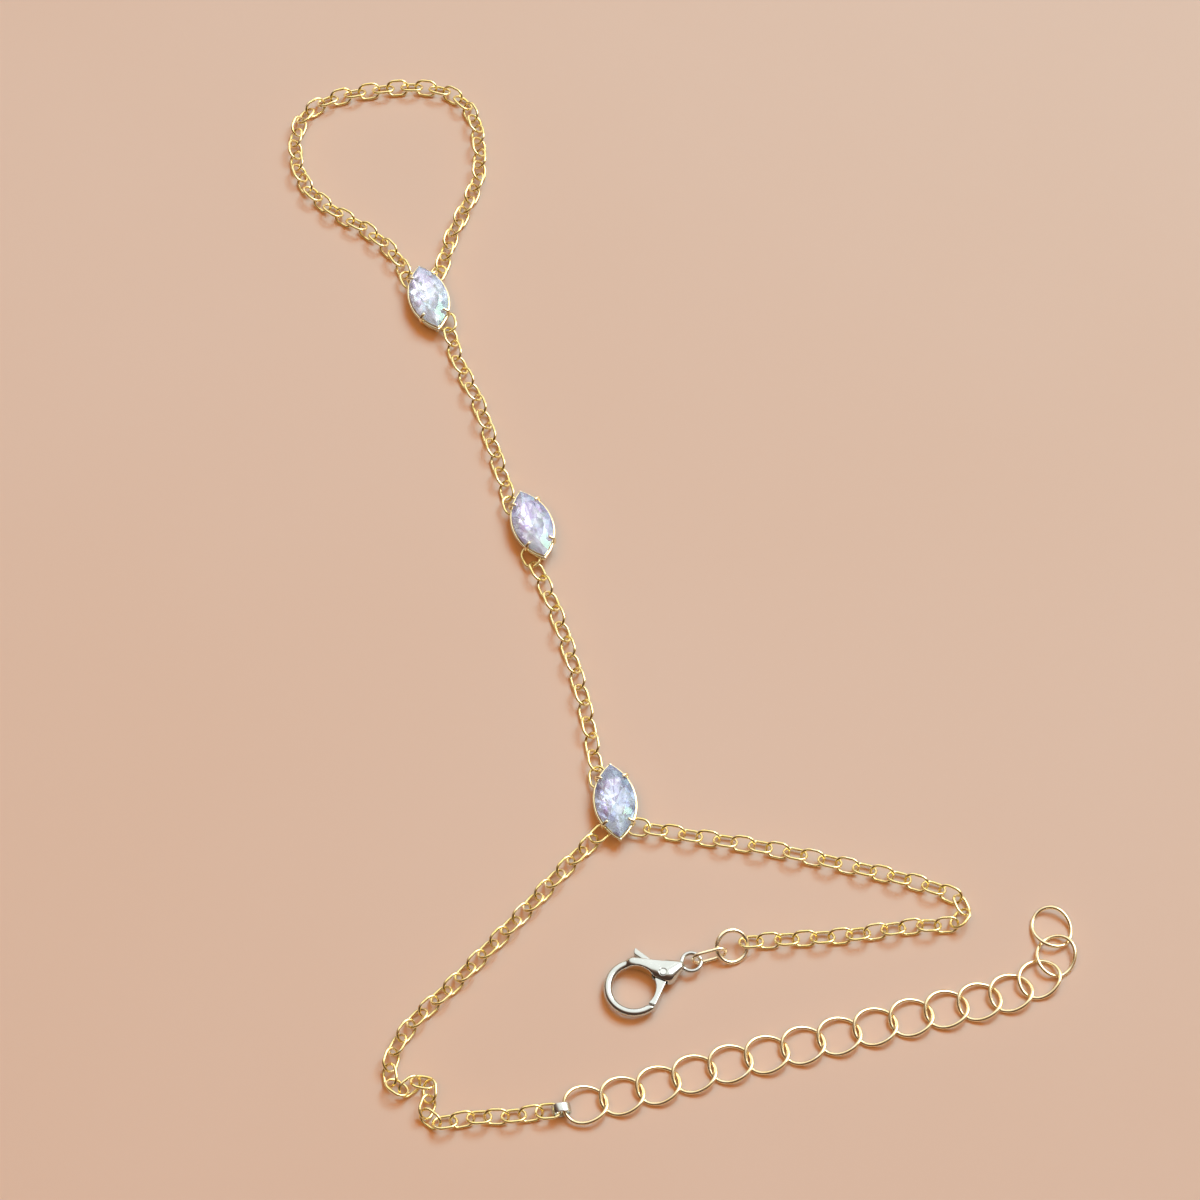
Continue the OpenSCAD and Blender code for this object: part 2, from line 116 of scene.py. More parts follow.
class Shape:
    """Points and faces of a piece, gathered part by part."""

    def __init__(self):
        self.points = []
        self.faces = []
        self.finishes = []
        self.count = 0

    def add(self, points, faces):
        """Adds a part, in the piece's first finish."""
        self.points.append(np.asarray(points, float))
        self.faces.extend([tuple(int(k) + self.count for k in face) for face in faces])
        self.finishes.extend([0] * len(faces))
        self.count += len(points)


def quads_between(a, b, sides):
    """Faces between two rings of points, the one from point a on and the one from point b on."""
    return [(a + j, b + j, b + (j + 1) % sides, a + (j + 1) % sides) for j in range(sides)]


def tube(path, radii, normal, sides=12, closed=True):
    """Round tube along a path that lies in, or near, the plane with that normal."""
    path = np.asarray(path, float)
    count = len(path)
    radii = np.broadcast_to(radii, count)
    if closed:
        along = np.roll(path, -1, axis=0) - np.roll(path, 1, axis=0)
    else:
        along = np.gradient(path, axis=0)
    along /= np.linalg.norm(along, axis=1)[:, None]
    out = np.cross(along, normal)
    out /= np.linalg.norm(out, axis=1)[:, None]
    rise = np.cross(out, along)
    turns = np.arange(sides) * math.tau / sides
    rings = (path[:, None] + radii[:, None, None]
             * (out[:, None] * np.cos(turns)[:, None] + rise[:, None] * np.sin(turns)[:, None]))
    faces = []
    for i in range(count if closed else count - 1):
        faces += quads_between(i * sides, (i + 1) % count * sides, sides)
    if not closed:
        faces += [tuple(range(sides)), tuple(range((count - 1) * sides, count * sides))[::-1]]
    return rings.reshape(-1, 3), faces


def round_ends(path, radii, steps=4):
    """Adds half a ball to each end of a tube's path, and gives the path and its radii."""
    path = np.asarray(path, float)
    radii = np.broadcast_to(radii, len(path)).astype(float)
    turns = np.linspace(0, math.pi / 2, steps + 1)[1:]
    turns[-1] = LAST_TURN
    ends = []
    for near, far, radius in ((path[0], path[1], radii[0]), (path[-1], path[-2], radii[-1])):
        out = (near - far) / np.linalg.norm(near - far)
        ends.append((near + out * radius * np.sin(turns)[:, None], radius * np.cos(turns)))
    return (np.concatenate((ends[0][0][::-1], path, ends[1][0])),
            np.concatenate((ends[0][1][::-1], radii, ends[1][1])))


def lathe(profile, middle, axis, turns=64):
    """Closed profile of (radius, height) rows turned about an axis."""
    axis = np.asarray(axis, float)
    out = np.cross(axis, UP if abs(axis[2]) < 0.9 else (1, 0, 0))
    out /= np.linalg.norm(out)
    side = np.cross(axis, out)
    count = len(profile)
    points = [middle + axis * h + r * (out * math.cos(t) + side * math.sin(t))
              for t in np.arange(turns) * math.tau / turns for r, h in profile]
    faces = []
    for i in range(turns):
        faces += quads_between(i * count, (i + 1) % turns * count, count)
    return points, faces


def ball(middle, radius, steps=10):
    """Round bead with a pole at its top and bottom."""
    sides = 2 * steps
    points = [middle + UP * radius, middle - UP * radius]
    for i in range(1, steps):
        tilt = math.pi * i / steps
        points += [middle + radius * np.array((math.sin(tilt) * math.cos(t), math.sin(tilt) * math.sin(t),
                                               math.cos(tilt)))
                   for t in np.arange(sides) * math.pi / steps]
    faces = [(0, 2 + j, 2 + (j + 1) % sides) for j in range(sides)]
    for i in range(steps - 2):
        faces += quads_between(2 + i * sides, 2 + (i + 1) * sides, sides)
    last = 2 + (steps - 2) * sides
    faces += [(1, last + (j + 1) % sides, last + j) for j in range(sides)]
    return points, faces


def make_piece(name, shape, materials, replaced, smooth=True):
    """Makes the object of a piece that doesn't move, hangs it on the root body's empty and hides the nodes it
    replaces.
    """
    mesh = bpy.data.meshes.new(name)
    mesh.from_pydata(np.concatenate(shape.points).tolist(), [], shape.faces)
    mesh.polygons.foreach_set("material_index", shape.finishes)
    for material in materials:
        mesh.materials.append(material)
    mesh.polygons.foreach_set("use_smooth", [smooth] * len(mesh.polygons))
    mesh.validate()
    mesh.update()
    piece = bpy.data.objects.new(name, mesh)
    bpy.context.scene.collection.objects.link(piece)
    hand_over(piece, replaced, "root")
    return piece


def hand_over(piece, replaced, body):
    """Hangs the piece on its body's empty, and hides the nodes that it replaces."""
    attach(piece, body)
    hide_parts(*replaced)


def add_wire(name, node, path, wire, normal, finish):
    """Makes a piece of one closed round wire along a path."""
    shape = Shape()
    shape.add(*tube(path, wire / 2, normal, sides=16))
    make_piece(name, shape, [finish], [node])


def curb_path(length, width, wire, twist, count=80):
    """Middle line of a curb link: an oval that the twist bends up and down."""
    turns = np.arange(count) * math.tau / count
    x, y = (length - wire) / 2 * np.cos(turns), (width - wire) / 2 * np.sin(turns)
    return np.column_stack((x, y, -2 * math.tan(twist) / (length - wire) * x * y))


def oval_path(length, width, wire, count=48):
    """Middle line of a link with straight sides and round ends."""
    a, b = (length - wire) / 2, (width - wire) / 2
    side, bend = 2 * (a - b), math.pi * b
    rows = []
    for q in np.arange(count) / count * 2 * (side + bend):
        if q < side:
            x, y = q - side / 2, -b
        elif q < side + bend:
            turn = (q - side) / b
            x, y = side / 2 + b * math.sin(turn), -b * math.cos(turn)
        elif q < 2 * side + bend:
            x, y = side * 1.5 + bend - q, b
        else:
            turn = (q - 2 * side - bend) / b
            x, y = -side / 2 - b * math.sin(turn), b * math.cos(turn)
        rows.append((x, y, 0))
    return np.array(rows)


# Materials

# How much a dull patch counts towards the pale colour, beside the edges; the pale colour is partly worn plating and
# partly a painted highlight
PATCH_SHARE = 0.45
# How far the small fields of a stone stray from the place of their facet in the row of colours
BROKEN = 0.7


def new_group(name, inputs, outputs):
    """Node group with those inputs, as name and value, and those outputs, as name and kind of socket."""
    tree = bpy.data.node_groups.new(name, "ShaderNodeTree")
    for label, value in inputs.items():
        kind = "NodeSocketColor" if isinstance(value, tuple) else "NodeSocketFloat"
        tree.interface.new_socket(name=label, in_out="INPUT", socket_type=kind).default_value = value
    for label, kind in outputs.items():
        tree.interface.new_socket(name=label, in_out="OUTPUT", socket_type=f"NodeSocket{kind}")
    return tree, tree.nodes.new("NodeGroupInput"), tree.nodes.new("NodeGroupOutput")


def add_node(tree, kind, settings=None, **sockets):
    """Adds a shader node with its settings; each socket gets a value, or a link from another node's socket."""
    node = tree.nodes.new(f"ShaderNode{kind}")
    for key, value in (settings or {}).items():
        setattr(node, key, value)
    for key, value in sockets.items():
        socket = node.inputs[int(key[1:]) if key[1:].isdigit() else key.replace("_", " ")]
        if isinstance(value, bpy.types.NodeSocket):
            tree.links.new(value, socket)
        else:
            socket.default_value = value
    return node


def metal_group():
    """Node group of a plated, tumbled metal: colour that shifts a little, paler patches and edges that are partly
    wear and partly a painted highlight, and fine scratches.
    """
    name = "plated_metal"
    if name in bpy.data.node_groups:
        return bpy.data.node_groups[name]
    tree, inputs, outputs = new_group(
        name, {"Plating": (0.9, 0.7, 0.4, 1), "Pale Wear And Highlight": (0.95, 0.85, 0.6, 1), "Smooth": 0.12, "Dull": 0.3,
               "Patch Scale": 900.0, "Scratch Depth": 0.2},
        {"Color": "Color", "Roughness": "Float", "Normal": "Vector"})
    own = inputs.outputs
    place = add_node(tree, "TexCoord").outputs["Object"]
    patches = add_node(tree, "TexNoise", Vector=place, Scale=own["Patch Scale"], Detail=4, Roughness=0.6)
    patch_mask = add_node(tree, "MapRange", Value=patches.outputs["Fac"], From_Min=0.38, From_Max=0.68)
    # Paler colour on the sharp edges: partly worn plating, partly a painted highlight
    pointed = add_node(tree, "NewGeometry").outputs["Pointiness"]
    edge = add_node(tree, "MapRange", Value=pointed, From_Min=0.54, From_Max=0.66)
    pale_wear_and_highlight = add_node(tree, "Math", {"operation": "MULTIPLY_ADD", "use_clamp": True},
                      _0=patch_mask.outputs["Result"], _1=PATCH_SHARE, _2=edge.outputs["Result"])
    colour = add_node(tree, "Mix", {"data_type": "RGBA"}, Factor=pale_wear_and_highlight.outputs["Value"], A=own["Plating"],
                      B=own["Pale Wear And Highlight"])
    rough = add_node(tree, "Mix", Factor=patch_mask.outputs["Result"], A=own["Smooth"], B=own["Dull"])
    stretch = add_node(tree, "Mapping", Vector=place, Scale=(1, 6, 3), Rotation=(0.4, 0.2, 0.9))
    scratches = add_node(tree, "TexNoise", Vector=stretch.outputs["Vector"], Scale=2500, Detail=3)
    bump = add_node(tree, "Bump", Height=scratches.outputs["Fac"], Strength=own["Scratch Depth"], Distance=0.00002)
    tree.links.new(colour.outputs["Result"], outputs.inputs["Color"])
    tree.links.new(rough.outputs["Result"], outputs.inputs["Roughness"])
    tree.links.new(bump.outputs["Normal"], outputs.inputs["Normal"])
    return tree


def facet_group():
    """Node group of a cut stone's sparkle: small fields with a tilt of their own and a value that picks their
    colour, partly a painted reflection, and a faint smear.
    """
    name = "facet_sparkle"
    if name in bpy.data.node_groups:
        return bpy.data.node_groups[name]
    tree, inputs, outputs = new_group(
        name, {"Broken": BROKEN, "Tilt": 0.1, "Smooth": 0.01, "Dull": 0.05, "Smear Scale": 700.0},
        {"Shade": "Float", "Roughness": "Float", "Normal": "Vector"})
    own = inputs.outputs
    place = add_node(tree, "TexCoord").outputs["Object"]
    facet = add_node(tree, "Attribute", {"attribute_name": "facet"}).outputs["Fac"]
    field = add_node(tree, "TexVoronoi", Vector=place, Scale=1300).outputs["Color"]
    mixed = add_node(tree, "Math", {"operation": "MULTIPLY_ADD"}, _0=field, _1=own["Broken"], _2=facet)
    shade = add_node(tree, "Math", {"operation": "FRACT"}, _0=mixed.outputs["Value"])
    smear = add_node(tree, "TexNoise", Vector=place, Scale=own["Smear Scale"])
    rough = add_node(tree, "MapRange", Value=smear.outputs["Fac"], To_Min=own["Smooth"], To_Max=own["Dull"])
    lean = add_node(tree, "VectorMath", {"operation": "SUBTRACT"}, _0=field, _1=(0.5, 0.5, 0.5))
    flat = add_node(tree, "NewGeometry").outputs["Normal"]
    leant = add_node(tree, "VectorMath", {"operation": "SCALE"}, _0=lean.outputs["Vector"], Scale=own["Tilt"])
    turned = add_node(tree, "VectorMath", _0=leant.outputs["Vector"], _1=flat)
    normal = add_node(tree, "VectorMath", {"operation": "NORMALIZE"}, _0=turned.outputs["Vector"])
    tree.links.new(shade.outputs["Value"], outputs.inputs["Shade"])
    tree.links.new(rough.outputs["Result"], outputs.inputs["Roughness"])
    tree.links.new(normal.outputs["Vector"], outputs.inputs["Normal"])
    return tree


def dressed(name, group, values, plain):
    """Material with a shared effect at its own values, and the plain values of its shader."""
    material = bpy.data.materials.new(name)
    material.use_nodes = True
    tree = material.node_tree
    shader = tree.nodes["Principled BSDF"]
    for socket, value in plain.items():
        shader.inputs[socket].default_value = value
    effect = add_node(tree, "Group", {"node_tree": group})
    for socket, value in values.items():
        effect.inputs[socket].default_value = value
    tree.links.new(effect.outputs["Roughness"], shader.inputs["Roughness"])
    tree.links.new(effect.outputs["Normal"], shader.inputs["Normal"])
    return material, effect


def fill_ramp(ramp, stops):
    """Gives a colour ramp its stops, as rows of position and colour."""
    while len(ramp.elements) < len(stops):
        ramp.elements.new(1.0)
    for k, (position, colour) in enumerate(stops):
        ramp.elements[k].position = position
        ramp.elements[k].color = (*colour, 1)


def metal(name, plating, pale_wear_and_highlight, smooth, dull, patch=900.0, depth=0.2):
    """Material of one plated metal, made once; smooth and dull are its roughness between and on its patches."""
    if name in bpy.data.materials:
        return bpy.data.materials[name]
    # The second, paler colour on patches and edges is partly wear and partly a painted highlight
    material, effect = dressed(
        name, metal_group(), {"Plating": (*plating, 1), "Pale Wear And Highlight": (*pale_wear_and_highlight, 1), "Smooth": smooth, "Dull": dull,
                              "Patch Scale": patch, "Scratch Depth": depth}, {"Metallic": 1.0})
    shader = material.node_tree.nodes["Principled BSDF"]
    material.node_tree.links.new(effect.outputs["Color"], shader.inputs["Base Color"])
    return material


def cut_finish(name, colours, values, plain):
    """Material of one side of a stone; its fields take their colours from a row that holds the coat's lilac and aqua
    and painted light and dark facet reflections.
    """
    material, effect = dressed(name, facet_group(), values, plain)
    tree = material.node_tree
    tints_and_reflections = add_node(tree, "ValToRGB", Fac=effect.outputs["Shade"])
    tints_and_reflections.color_ramp.interpolation = "CONSTANT"
    fill_ramp(tints_and_reflections.color_ramp, [(k / len(colours), colour) for k, colour in enumerate(colours)])
    tree.links.new(tints_and_reflections.outputs["Color"], tree.nodes["Principled BSDF"].inputs["Base Color"])
    return material


def crown_glass(name, colours):
    """Cut glass of a stone's upper side: clear and a little milky, with a thin film for its lilac and aqua sheen."""
    # The fields' colours, made milky: the coat's lilac and aqua, and painted light and dark facet reflections
    return cut_finish(name, [lighter(colour, 0.5) for colour in colours],
                      {"Broken": BROKEN, "Tilt": 0.08, "Smooth": 0.01, "Dull": 0.05, "Smear Scale": 700},
                      {"Transmission Weight": 0.75, "IOR": 1.56, "Specular IOR Level": 0.35,
                       "Thin Film Thickness": 420, "Thin Film IOR": 1.65})


def foil(name, colours):
    """Foil under a stone, its fields in the coat's lilac and aqua and in painted light and dark facet reflections.
    """
    return cut_finish(name, [lighter(colour, 0.35) for colour in colours],
                      {"Broken": BROKEN, "Tilt": 0.35, "Smooth": 0.08, "Dull": 0.3, "Smear Scale": 1800},
                      {"Metallic": 0.85})


# Sizes and colours that a user would change

class ChainSettings(bpy.types.PropertyGroup):
    """Wire and plating of the chains"""
    small_wire: FloatProperty(
        name="Small wire", description="Wire of the small cable links", default=0.29 * MM, unit="LENGTH")
    extender_wire: FloatProperty(
        name="Extender wire", description="Wire of the large curb links", default=0.38 * MM, unit="LENGTH")
    extender_twist: FloatProperty(
        name="Curb twist", description="How far each curb link is twisted", default=math.radians(20),
        subtype="ANGLE")
    gold: FloatVectorProperty(
        name="Gold", description="Plating of the small chain", default=(0.92, 0.75, 0.29), subtype="COLOR",
        size=3, min=0, max=1)
    extender_gold: FloatVectorProperty(
        name="Extender gold", description="Plating of the extender", default=(0.92, 0.77, 0.45), subtype="COLOR",
        size=3, min=0, max=1)


class RingSettings(bpy.types.PropertyGroup):
    """Wire and plating of the rings, and the clasp's plating"""
    jump_wire: FloatProperty(
        name="Jump ring wire", description="Wire of the jump ring", default=0.45 * MM, unit="LENGTH")
    connector_wire: FloatProperty(
        name="Connector wire", description="Wire of the oval link at the clasp", default=0.36 * MM, unit="LENGTH")
    band_wall: FloatProperty(
        name="Band wall", description="Wall of the short plain ring", default=0.2 * MM, unit="LENGTH")
    pale_gold: FloatVectorProperty(
        name="Pale gold", description="Plating of the jump ring and the oval link", default=(0.96, 0.84, 0.57),
        subtype="COLOR", size=3, min=0, max=1)
    silver: FloatVectorProperty(
        name="Silver", description="Plating of the clasp and the short ring", default=(0.58, 0.61, 0.58),
        subtype="COLOR", size=3, min=0, max=1)


class StoneSettings(bpy.types.PropertyGroup):
    """Cut of the stones"""
    girdle: FloatProperty(
        name="Girdle", description="Height of the stone's edge", default=0.15 * MM, unit="LENGTH")
    crown: FloatProperty(
        name="Crown", description="Height of the stone above its edge", default=0.65 * MM, unit="LENGTH")
    table_length: FloatProperty(
        name="Table length", description="Length of the table, as a share of the stone", default=0.62,
        subtype="FACTOR", min=0.3, max=0.9)
    table_width: FloatProperty(
        name="Table width", description="Width of the table, as a share of the stone", default=0.54,
        subtype="FACTOR", min=0.3, max=0.9)


class SettingSettings(bpy.types.PropertyGroup):
    """Rails, posts, claws and beads of the settings"""
    rail_wire: FloatProperty(
        name="Rail wire", description="Wire of the two rails round a stone", default=0.3 * MM, unit="LENGTH")
    rail_out: FloatProperty(
        name="Rail out", description="From the stone's outline to the middle of the upper rail",
        default=0.08 * MM, unit="LENGTH")
    base_in: FloatProperty(
        name="Base in", description="How far the lower rail stands inside the upper one", default=0.5 * MM,
        unit="LENGTH")
    post_wire: FloatProperty(
        name="Post wire", description="Thickness of a claw's post", default=0.36 * MM, unit="LENGTH")
    post_out: FloatProperty(
        name="Post out", description="From the stone's outline to the middle of a post", default=0.25 * MM,
        unit="LENGTH")
    post_along: FloatProperty(
        name="Post along", description="From the stone's middle to the posts, along it", default=2.5 * MM,
        unit="LENGTH")
    claw_reach: FloatProperty(
        name="Claw reach", description="How far a claw reaches over the stone", default=0.5 * MM, unit="LENGTH")
    bead: FloatProperty(
        name="Bead", description="Bead at each point of a setting", default=0.4 * MM, unit="LENGTH")


class StageSettings(bpy.types.PropertyGroup):
    """Floor, lights and camera"""
    floor: FloatVectorProperty(
        name="Floor", description="Colour of the plain pale floor", default=(0.69, 0.46, 0.33), subtype="COLOR",
        size=3, min=0, max=1)
    key_power: FloatProperty(
        name="Key power", description="Strength of the soft key light", default=11.4, unit="POWER")
    key_tint: FloatVectorProperty(
        name="Key tint", description="Colour of the soft key light", default=(0.23, 0.69, 1.0), subtype="COLOR",
        size=3, min=0, max=1)
    gleam_power: FloatProperty(
        name="Gleam power", description="Strength of the soft box that the metal mirrors", default=4.0,
        unit="POWER")
    ambient_power: FloatProperty(
        name="Ambient power", description="Strength of the wide light that fills the shadows", default=17.6,
        unit="POWER")
    ambient_tint: FloatVectorProperty(
        name="Ambient tint", description="Colour of the light that fills the shadows", default=(1.0, 0.48, 0.14),
        subtype="COLOR", size=3, min=0, max=1)
    distance: FloatProperty(
        name="Camera distance", description="From the camera to the middle of the view", default=0.368,
        unit="LENGTH")
    elevation: FloatProperty(
        name="Camera elevation", description="Angle of the view above the floor", default=math.radians(62),
        subtype="ANGLE")
    lens: FloatProperty(
        name="Lens", description="Focal length in millimetres", default=107.13, min=1)


class BraceletSettings(bpy.types.PropertyGroup):
    """All that a user would change"""
    chain: PointerProperty(type=ChainSettings, name="Chain", description="Chain sizes and plating")
    rings: PointerProperty(type=RingSettings, name="Rings", description="Rings and the clasp's plating")
    stones: PointerProperty(type=StoneSettings, name="Stones", description="Cut of the stones")
    settings: PointerProperty(type=SettingSettings, name="Settings", description="Wire and claws of the settings")
    stage: PointerProperty(type=StageSettings, name="Stage", description="Floor, light and camera")


def lighter(colour, share):
    """Colour moved towards white by that share of the way."""
    return tuple(c + (1 - c) * share for c in colour)


# Each metal's paler second colour is partly wear and partly a painted highlight
def gold_metal():
    """Bright yellow gold plate of the small chain."""
    gold = bpy.context.scene.bracelet.chain.gold
    return metal("small_chain_gold", gold, lighter(gold, 0.45), smooth=0.12, dull=0.26)


def extender_metal():
    """Yellow gold plate of the extender."""
    gold = bpy.context.scene.bracelet.chain.extender_gold
    return metal("extender_gold", gold, lighter(gold, 0.4), smooth=0.1, dull=0.24)


def setting_metal():
    """Gold plate of the settings, a little paler than the chain's."""
    gold = bpy.context.scene.bracelet.chain.gold
    return metal("setting_gold", lighter(gold, 0.3), lighter(gold, 0.6), smooth=0.1, dull=0.24)


def pale_gold_metal():
    """Pale gold plate of the jump ring and the connector link."""
    gold = bpy.context.scene.bracelet.rings.pale_gold
    return metal("ring_pale_gold", gold, lighter(gold, 0.4), smooth=0.18, dull=0.34)


def silver_metal():
    """Silver plate over the cast clasp, with broad patches and faint scratches."""
    silver = bpy.context.scene.bracelet.rings.silver
    return metal("clasp_silver", silver, lighter(silver, 0.3), smooth=0.05, dull=0.14, patch=500.0, depth=0.1)


def band_metal():
    """Silver plate of the short band ring."""
    silver = bpy.context.scene.bracelet.rings.silver
    return metal("band_silver", silver, lighter(silver, 0.5), smooth=0.1, dull=0.25, patch=600.0)


# One operator for each piece, or group of like pieces

class BRACELET_OT_small_chains(bpy.types.Operator):
    """Makes the five lengths of small cable chain, link by link where the frame has them"""
    bl_idname = "bracelet.small_chains"
    bl_label = "Small chains"

    def execute(self, context):
        wire = context.scene.bracelet.chain.small_wire
        for node in SMALL_CHAINS:
            shape = Shape()
            for points in node_solids(node):
                middle, axes, size = solid_axes(points)
                path = middle + oval_path(*size[:2], wire) @ axes.T
                shape.add(*tube(path, wire / 2, axes[:, 2]))
            make_piece(f"{node}_links", shape, [gold_metal()], [node])
        return {"FINISHED"}


class BRACELET_OT_extender(bpy.types.Operator):
    """Makes the sixteen twisted curb links of the extender"""
    bl_idname = "bracelet.extender"
    bl_label = "Extender"

    def execute(self, context):
        chain = context.scene.bracelet.chain
        for k in range(1, EXTENDER_COUNT + 1):
            node = f"extender_link_{k:02d}"
            middle, axes, size = solid_axes(np.concatenate(node_solids(node)))
            path = middle + curb_path(*size[:2], chain.extender_wire, chain.extender_twist) @ axes.T
            add_wire(f"{node}_wire", node, path, chain.extender_wire, axes[:, 2], extender_metal())
        return {"FINISHED"}


# Rounding of the band ring's edges, as a share of its wall
BAND_ROUNDING = 0.35


class BRACELET_OT_rings(bpy.types.Operator):
    """Makes the jump ring, the oval connector link and the short band ring"""
    bl_idname = "bracelet.rings"
    bl_label = "Rings"

    def execute(self, context):
        rings = context.scene.bracelet.rings
        middle, axes, size = solid_axes(np.concatenate(node_solids("jump_ring")))
        radius, steps = (size[0] - rings.jump_wire) / 2, 72
        turns = np.arange(steps)[:, None] * math.tau / steps
        path = middle + radius * (np.cos(turns) * axes[:, 0] + np.sin(turns) * axes[:, 1])
        add_wire("jump_ring_wire", "jump_ring", path, rings.jump_wire, axes[:, 2], pale_gold_metal())

        middle, axes, size = solid_axes(np.concatenate(node_solids("connector_link")))
        path = middle + oval_path(*size[:2], rings.connector_wire, count=64) @ axes.T
        add_wire("connector_link_wire", "connector_link", path, rings.connector_wire, axes[:, 2],
                 pale_gold_metal())

        middle, axes, size = solid_axes(np.concatenate(node_solids("band_ring")))
        length = int(np.argmin(size))
        outer, half = (size.sum() - size[length]) / 4, size[length] / 2
        inner, soft = outer - rings.band_wall, rings.band_wall * BAND_ROUNDING
        profile = []
        for r, h, start in ((outer - soft, half - soft, 0), (inner + soft, half - soft, 90),
                            (inner + soft, soft - half, 180), (outer - soft, soft - half, 270)):
            for step in range(4):
                turn = math.radians(start + step * 30)
                profile.append((r + soft * math.cos(turn), h + soft * math.sin(turn)))
        shape = Shape()
        shape.add(*lathe(profile, middle, axes[:, length]))
        make_piece("band_ring_collar", shape, [band_metal()], ["band_ring"])
        return {"FINISHED"}


# From the underside of a stone's edge down to the upper rail, and from the top of its edge up to a claw's bend
RAIL_UNDER = 0.25 * MM
CLAW_BEND = 0.15 * MM
# A post is straight until POST_END under the bend; the point before that is midway between the upper rail and
# POST_LEAD under the bend
POST_END = 0.08 * MM
POST_LEAD = 0.1 * MM
# Share of the crown's height that a claw rises for each millimetre of reach, how round it bends, and its taper
CLAW_RISE = 0.98
CLAW_CURVE = 1.6
CLAW_TAPER = 0.15


def outline_arc(length, width):
    """Radius of the two arcs of a pointed oval, and how far their middles lie beyond its long axis."""
    radius = (length * length + width * width) / (4 * width)
    return radius, radius - width / 2


def rail_path(length, width, out, z, steps=20):
    """Pointed oval of two arcs, that far outside the stone's outline."""
    arc, drop = outline_arc(length, width)
    reach = arc + out
    turn = math.acos(drop / reach)
    rows = []
    for side in (1, -1):
        for q in np.linspace(turn, -turn, 2 * steps + 1)[:-1]:
            rows.append((side * reach * math.sin(q), side * (reach * math.cos(q) - drop), z))
    return np.array(rows)


def claw_path(post, foot, inward, rail_low, rail_top, bend, make, crown):
    """Middle line and radii of a claw: a post that leans out as it rises, and an end bent in over the stone."""
    thick = make.post_wire / 2
    rise = make.claw_reach / MM * crown * CLAW_RISE
    rows, radii = [], []
    for share in np.linspace(0, 1, 6):
        rows.append(post - foot * (1 - share) + UP * (rail_low + (rail_top - rail_low) * share))
        radii.append(thick)
    rows.append(post + UP * (rail_top + bend - POST_LEAD) / 2)
    rows.append(post + UP * (bend - POST_END))
    radii += [thick, thick]
    for share in np.linspace(0.1, 1, 8):
        lift = rise * (1 - (1 - share) ** CLAW_CURVE)
        rows.append(post + UP * (bend + lift) + inward * make.claw_reach * share)
        radii.append(thick * (1 - CLAW_TAPER * share))
    return round_ends(rows, radii)


class BRACELET_OT_settings(bpy.types.Operator):
    """Makes the three open settings, each with two rails, four claws and a bead at each point"""
    bl_idname = "bracelet.settings"
    bl_label = "Settings"

    def execute(self, context):
        cut, make = context.scene.bracelet.stones, context.scene.bracelet.settings
        for name in STONES:
            middle, axes, size, _, high = stone_place(name)
            length, width = size[:2]
            arc, drop = outline_arc(length, width)
            shape = Shape()

            def place(rows):
                return middle + np.asarray(rows) @ axes.T

            girdle_top = high - cut.crown
            rail_top = girdle_top - cut.girdle - RAIL_UNDER
            rail_low = make.bead / 2
            for z, out in ((rail_low, make.rail_out - make.base_in), (rail_top, make.rail_out)):
                path = rail_path(length, width, out, z)
                shape.add(*tube(place(path), make.rail_wire / 2, UP, 14))
                tip = abs(path[:, 0]).max()
                for side in (-1, 1):
                    shape.add(*ball(place((side * tip, 0, z)), make.bead / 2))
            turn = math.asin(make.post_along / arc)
            for along in (-1, 1):
                for side in (-1, 1):
                    away = np.array((along * math.sin(turn), side * math.cos(turn), 0))
                    post = away * (arc + make.post_out) - np.array((0, side * drop, 0))
                    inward = -np.array((0, side * drop, 0)) - post
                    inward /= np.linalg.norm(inward)
                    path, radii = claw_path(post, away * make.base_in, inward, rail_low, rail_top,
                                            girdle_top + CLAW_BEND, make, cut.crown)
                    shape.add(*tube(place(path), radii, axes @ np.cross(inward, UP), 16, closed=False))
            make_piece(f"setting_{name}_claws", shape, [setting_metal()], [f"setting_{name}"])
        return {"FINISHED"}


# Colours of each stone's fields, in turn round it, from its end away from the finger loop: the coat's lilac and
# aqua, and painted light and dark facet reflections in the near-white and dark entries
FIELD_TINTS_AND_REFLECTIONS = {
    "finger": [(0.82, 0.92, 0.98), (0.97, 0.99, 1.0), (0.74, 0.84, 0.97), (0.92, 0.94, 1.0), (0.66, 0.56, 0.80),
               (0.40, 0.34, 0.52), (0.95, 0.98, 1.0), (0.74, 0.93, 0.95)],
    "middle": [(0.90, 0.98, 0.97), (0.80, 0.74, 0.93), (0.72, 0.90, 0.94), (0.84, 0.76, 0.92), (0.46, 0.32, 0.68),
               (0.60, 0.56, 0.74), (0.84, 0.98, 0.94), (0.98, 1.0, 0.98)],
    "wrist": [(0.74, 0.93, 0.95), (0.60, 0.71, 0.94), (0.10, 0.0, 0.26), (0.70, 0.70, 0.93), (0.92, 0.97, 1.0),
              (0.32, 0.18, 0.46), (0.62, 0.70, 0.90), (0.84, 0.98, 0.98)],
}
# Height of the points between star and crown facets, as a share of the crown, and of those under the edge
STAR_HEIGHT = 0.55
BREAK_DEPTH = 0.7
# How much the place of a facet in the row of colours is shaken, and how fast from facet to facet
SHAKE = 0.1
SHAKE_STEP = 7


